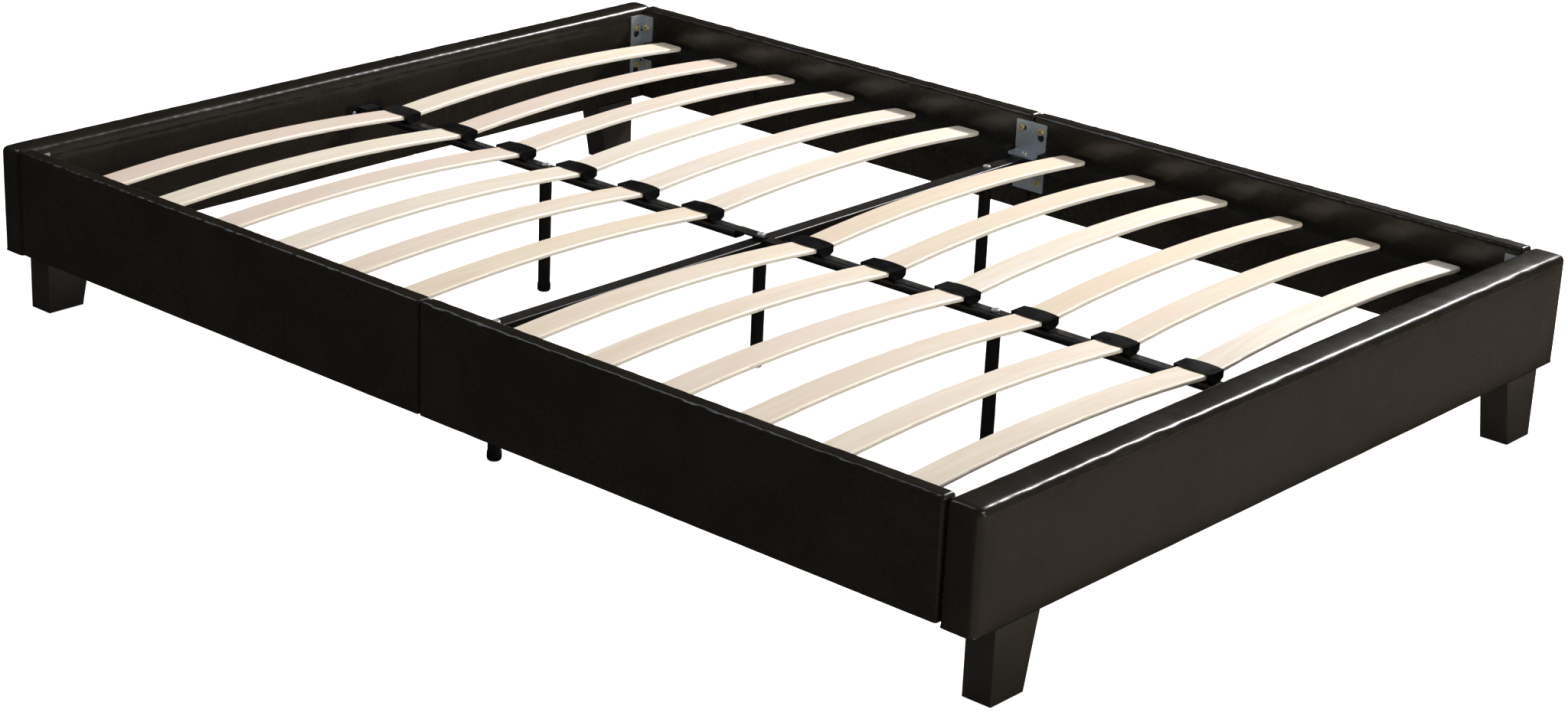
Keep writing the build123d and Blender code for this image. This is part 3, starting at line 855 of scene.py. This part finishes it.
@dataclass
class PaddedRail:
    """One rail's cover: leather over thin wadding, folded round the board and sewn."""

    node: str
    along: Axis
    outward: float
    seed: int
    edge: float = 7.0 * MM
    corner: float = 7.0 * MM
    under_edge: float = 2.5 * MM
    fold_cuts: int = 5
    seam_rows: int = 4
    start_in: float = 0.4 * MM
    step: float = 7.0 * MM
    face_step: float = 15.0 * MM
    thick_step: float = 9.0 * MM
    swell: float = 1.5 * MM
    pressure: float = 4.0
    tension: float = 25.0
    bending: float = 1.5
    quality: int = 4
    frames: int = 20
    broad: float = 0.35 * MM
    pucker: float = 0.75 * MM
    pucker_reach: float = 9.0 * MM
    seam_drop: float = 8.5 * MM
    seam_depth: float = 0.7 * MM
    welt: float = 0.8 * MM
    inner_seam: float = 14.0 * MM
    inner_welt: float = 0.0
    fine_share: float = 0.22
    fold_reach: float = 1.3
    outer_pucker: float = 0.4
    inner_pucker: float = 0.3
    inner_share: float = 0.45
    seam_wander: float = 0.6 * MM
    seam_place: float = -1.9 * MM
    seam_half: float = 1.5 * MM
    welt_place: float = 1.0 * MM
    inner_half: float = 2.5 * MM
    gather_share: float = 0.7
    crease_half: float = 2.4 * MM
    crease_depth: float = 0.8 * MM
    crease_gap: float = 5.0 * MM
    crease_wear: float = 0.4
    end_place: float = 1.5
    end_half: float = 2.2 * MM
    end_dip: float = 0.4 * MM
    most_in: float = 1.6 * MM
    most_out: float = 1.4 * MM
    gathers: tuple[float, ...] = ()

    @property
    def across(self) -> Axis:
        """Direction of the rail's thickness."""
        return Axis.Y if self.along is Axis.X else Axis.X

    def block_out(self) -> bpy.types.Object:
        """Cut the rail's rounded form, with its faces divided evenly.

        Returns:
            The new piece, in object mode.
        """
        low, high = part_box(self.node)
        inset = Vector((self.start_in,) * 3)
        piece = Bench.block(self.node.replace("_cover", "_leather"), low + inset, high - inset)
        weights = piece.data.attributes.new("bevel_weight_edge", "FLOAT", "EDGE")
        for edge in piece.data.edges:
            heights = [piece.data.vertices[i].co.z for i in edge.vertices]
            upright = abs(heights[0] - heights[1]) > self.edge
            under = max(heights) < (low.z + high.z) / 2
            reach = self.corner if upright else self.under_edge if under else self.edge
            weights.data[edge.index].value = reach / self.corner
        rounding = piece.modifiers.new("rounding", "BEVEL")
        rounding.limit_method, rounding.width = "WEIGHT", self.corner
        rounding.segments = self.fold_cuts
        bpy.ops.object.modifier_apply(modifier=rounding.name)
        steps = {self.along: self.step, Axis.Z: self.face_step, self.across: self.thick_step}
        for axis, step in steps.items():
            span = (high - low)[axis.value] - 2 * (self.edge + self.start_in)
            self._divide(piece, axis, max(1, round(span / step) - 1), LONG_EDGE * span)
        top = high.z - self.start_in - self.edge

        def under_fold(a: Vector, b: Vector) -> bool:
            """Whether an edge is an upright one just below the top fold."""
            upright = abs(a.z - b.z) > WHOLE_STEP * self.face_step
            return upright and abs(max(a.z, b.z) - top) < SAME_HEIGHT

        bpy.ops.object.mode_set(mode="OBJECT")
        Bench.pick_edges(piece, under_fold)
        bpy.ops.mesh.subdivide(number_cuts=self.seam_rows, smoothness=0.0)
        bpy.ops.mesh.select_all(action="SELECT")
        bpy.ops.mesh.normals_make_consistent(inside=False)
        bpy.ops.object.mode_set(mode="OBJECT")
        return piece

    @staticmethod
    def _divide(piece: bpy.types.Object, axis: Axis, cuts: int, least: float) -> None:
        """Divide the long edges that run along one direction.

        Args:
            piece: The active object.
            axis: Direction of the edges.
            cuts: New points on each edge.
            least: Length that an edge has to pass.
        """

        def runs_along(a: Vector, b: Vector) -> bool:
            """Whether an edge is long and follows the direction."""
            return abs((b - a)[axis.value]) > least

        if bpy.context.object.mode == "EDIT":
            bpy.ops.object.mode_set(mode="OBJECT")
        Bench.pick_edges(piece, runs_along)
        bpy.ops.mesh.subdivide(number_cuts=cuts, smoothness=0.0)

    def puff(self, piece: bpy.types.Object) -> None:
        """Let the wadding press the leather out, held along the folds and the underside.

        Args:
            piece: The blocked-out cover.
        """
        start = self._points(piece)
        low, high = start.min(axis=0), start.max(axis=0)
        inside = np.minimum(start - low, high - start)
        inside[:, 2] = high[2] - start[:, 2]
        folded = (inside < self.edge * FOLD_SLACK).sum(axis=1) >= 2
        beneath = start[:, 2] < low[2] + UNDERSIDE_SLACK * self.under_edge
        group = piece.vertex_groups.new(name="sewn")
        for index in np.flatnonzero(folded | beneath):
            group.add([int(index)], 1.0, "REPLACE")
        cloth = piece.modifiers.new("wadding", "CLOTH")
        settings = cloth.settings
        settings.quality = self.quality
        settings.use_pressure = True
        settings.uniform_pressure_force = self.pressure
        settings.tension_stiffness = self.tension
        settings.bending_stiffness = self.bending
        settings.effector_weights.gravity = 0.0
        settings.vertex_group_mass = group.name
        cloth.point_cache.frame_start, cloth.point_cache.frame_end = 1, self.frames
        scene = bpy.context.scene
        for number in range(1, self.frames + 1):
            scene.frame_set(number)
        Bench.take(piece)
        bpy.ops.object.modifier_apply(modifier=cloth.name)
        scene.frame_set(1)
        moved = self._points(piece) - start
        far = np.linalg.norm(moved, axis=1)[:, None]
        capped = self.swell * np.tanh(far / self.swell) / np.maximum(far, 1e-9)
        self._move(piece, start + moved * capped)
        log.info("%s: wadding pressed out by up to %.1f mm", piece.name, far.max() / MM)

    def refine(self, piece: bpy.types.Object) -> None:
        """Divide the cover once more, so that small folds have room.

        Args:
            piece: The padded cover.
        """
        Bench.take(piece)
        smooth = piece.modifiers.new("finer", "SUBSURF")
        smooth.levels = smooth.render_levels = 1
        bpy.ops.object.modifier_apply(modifier=smooth.name)

    def tailor(self, piece: bpy.types.Object) -> None:
        """Work the folds, the sewn line and the puckers into the leather.

        Args:
            piece: The refined cover.
        """
        points = self._points(piece)
        normals = np.empty(len(points) * 3, np.float32)
        piece.data.vertices.foreach_get("normal", normals)
        normals = normals.reshape(-1, 3).astype(float)
        low, high = points.min(axis=0), points.max(axis=0)
        run = points[:, self.along.value]
        out = points[:, self.across.value] * self.outward
        sides = (low[self.across.value] * self.outward, high[self.across.value] * self.outward)
        out_most, inner_most = max(sides), min(sides)
        drop = high[2] - points[:, 2]
        flat = np.clip(np.abs(normals).max(axis=1) * 4 - 3, 0, 1)
        broad, fine, crumple, wander, gather = (
            Ripple(self.seed + number, kind).at(points) for number, kind in enumerate(Waves))
        push = self.broad * flat * broad
        push += self.fine_share * self.broad * fine
        outer = np.clip(1 - (out_most - out) / (self.fold_reach * self.edge), 0, 1)
        share = outer * near(drop, self.outer_pucker * self.edge, self.pucker_reach)
        push += self.pucker * share * crumple
        inner = np.clip(1 - (out - inner_most) / (self.fold_reach * self.edge), 0, 1)
        share = inner * near(drop, self.inner_pucker * self.edge, self.pucker_reach)
        push += self.inner_share * self.pucker * share * crumple
        line = drop - (self.seam_drop + self.seam_wander * wander)
        gather = 1.0 + self.gather_share * gather
        push -= self.seam_depth * outer * near(line, self.seam_place, self.seam_half) * gather
        push += self.welt * outer * near(line, self.welt_place, self.seam_half) * gather
        inward = self.inner_welt * inner * near(line, self.inner_seam, self.inner_half)
        push -= inward * gather
        ends = np.minimum(run - low[self.along.value], high[self.along.value] - run)
        push -= self.end_dip * near(ends, self.edge * self.end_place, self.end_half) * flat
        for place in self.gathers:
            rise = self.crease_depth * near(run, place, self.crease_half)
            push += rise * (1 - self.crease_wear + self.crease_wear * crumple)
            push -= self.crease_depth * near(run, place + self.crease_gap, self.crease_half)
        push = np.clip(push, -self.most_in, self.most_out)
        self._move(piece, points + normals * push[:, None])

    @staticmethod
    def _points(piece: bpy.types.Object) -> np.ndarray:
        """Read a piece's vertices.

        Args:
            piece: Object to read.

        Returns:
            One point to a row.
        """
        flat = np.empty(len(piece.data.vertices) * 3, np.float32)
        piece.data.vertices.foreach_get("co", flat)
        return flat.reshape(-1, 3).astype(float)

    @staticmethod
    def _move(piece: bpy.types.Object, points: np.ndarray) -> None:
        """Write a piece's vertices."""
        piece.data.vertices.foreach_set("co", points.astype(np.float32).ravel())
        piece.data.update()

    def build(self) -> bpy.types.Object:
        """Make the cover and hand it to the frame.

        Returns:
            The finished piece.
        """
        piece = self.block_out()
        self.puff(piece)
        self.refine(piece)
        self.tailor(piece)
        piece.vertex_groups.clear()
        piece.data.materials.clear()
        dress(piece, Leather("black_leather"))
        Bench.smooth(piece, 60)
        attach(piece, BODY)
        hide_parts(self.node)
        log.info("%s: %d faces", piece.name, len(piece.data.polygons))
        return piece


@dataclass
class Upholstery:
    """The six covered rails."""

    end_edge: float = 11.0 * MM
    end_corner: float = 13.0 * MM

    def build(self) -> None:
        """Make each rail's cover in turn."""
        PaddedRail("foot_rail_cover", Axis.X, -1.0, 11, edge=self.end_edge,
                   corner=self.end_corner, step=6.0 * MM, thick_step=12.0 * MM).build()
        PaddedRail("head_rail_cover", Axis.X, 1.0, 23, edge=self.end_edge, corner=self.end_corner,
                   thick_step=12.0 * MM, inner_welt=0.6 * MM, gathers=(0.12,)).build()
        for number, (side, outward) in enumerate((("left", -1.0), ("right", 1.0))):
            for offset, end in enumerate(("head", "foot")):
                seed = 31 + 20 * number + 7 * offset
                PaddedRail(f"{side}_rail_{end}_cover", Axis.Y, outward, seed, step=5.0 * MM,
                           pucker=1.2 * MM, pucker_reach=7.0 * MM).build()


# ---------------------------------------------------------------- finishes on the CAD nodes
@dataclass
class HardParts:
    """Every CAD part whose shape stands as it is, with its finish."""

    finishes: dict[str, Finish] = field(default_factory=lambda: {
        Slot.TIMBER.value: Timber("rail_timber"),
        Slot.BATTEN.value: Painted("black_batten", roughness=0.5, texture=500.0),
        Slot.PLASTIC.value: Painted("black_plastic", colour=(0.006, 0.006, 0.0065),
                                    rubbed=(0.014, 0.014, 0.015), roughness=0.26,
                                    texture=1400.0, depth=0.00003, specular=0.4),
        Slot.LEG.value: Painted("black_leg", colour=(0.028, 0.024, 0.0205),
                                rubbed=(0.040, 0.034, 0.028), roughness=0.34,
                                texture=350.0, specular=0.5),
        Slot.ZINC.value: Plated("zinc_plate"),
        Slot.YELLOW_ZINC.value: Plated("yellow_zinc", colour=(0.60, 0.50, 0.26),
                                       bloom=(0.74, 0.66, 0.44), roughness=0.28),
        Slot.BRIGHT_ZINC.value: Plated("bright_zinc", colour=(0.62, 0.63, 0.64),
                                       bloom=(0.80, 0.81, 0.82), roughness=0.24),
        Slot.STEEL.value: Painted("black_steel", colour=(0.0075, 0.007, 0.007),
                                  rubbed=(0.018, 0.017, 0.016), roughness=0.36,
                                  specular=0.35),
    })
    tints: tuple[tuple[Colour, Colour], ...] = (
        ((0.80, 0.66, 0.57), (0.88, 0.80, 0.64)),
        ((0.87, 0.80, 0.65), (0.81, 0.67, 0.57)),
        ((0.80, 0.66, 0.57), (0.84, 0.73, 0.62)),
        ((0.87, 0.80, 0.68), (0.88, 0.81, 0.70)),
        ((0.85, 0.74, 0.60), (0.86, 0.77, 0.67)),
        ((0.85, 0.73, 0.56), (0.88, 0.81, 0.68)),
        ((0.86, 0.76, 0.61), (0.82, 0.68, 0.52)),
        ((0.86, 0.75, 0.61), (0.82, 0.69, 0.54)),
        ((0.84, 0.73, 0.62), (0.88, 0.82, 0.70)),
        ((0.83, 0.72, 0.59), (0.82, 0.69, 0.53)),
        ((0.86, 0.76, 0.64), (0.82, 0.70, 0.56)),
        ((0.86, 0.77, 0.64), (0.89, 0.84, 0.74)),
    )

    def build(self) -> None:
        """Dress each CAD node by the record's slot for it."""
        for part in frame["record"]["subparts"]:
            node, slot = part["node"], part["material_slot"]
            piece = frame["nodes"][node]
            if node.startswith("slat_pair_"):
                number = int(node[-2:])
                left, right = self.tints[number - 1]
                dress(piece, Ply(f"birch_ply_{number:02d}", left, right, 1.37 * number))
            else:
                dress(piece, self.finishes.get(slot, Leather("black_leather")))
            log.info("%s: %s", node, slot)


def main() -> None:
    """Build the studio and dress the bed frame."""
    logging.basicConfig(level=logging.INFO, format="%(name)s: %(message)s")
    Studio().build()
    HardParts().build()
    Upholstery().build()


if __name__ == "__main__":
    main()
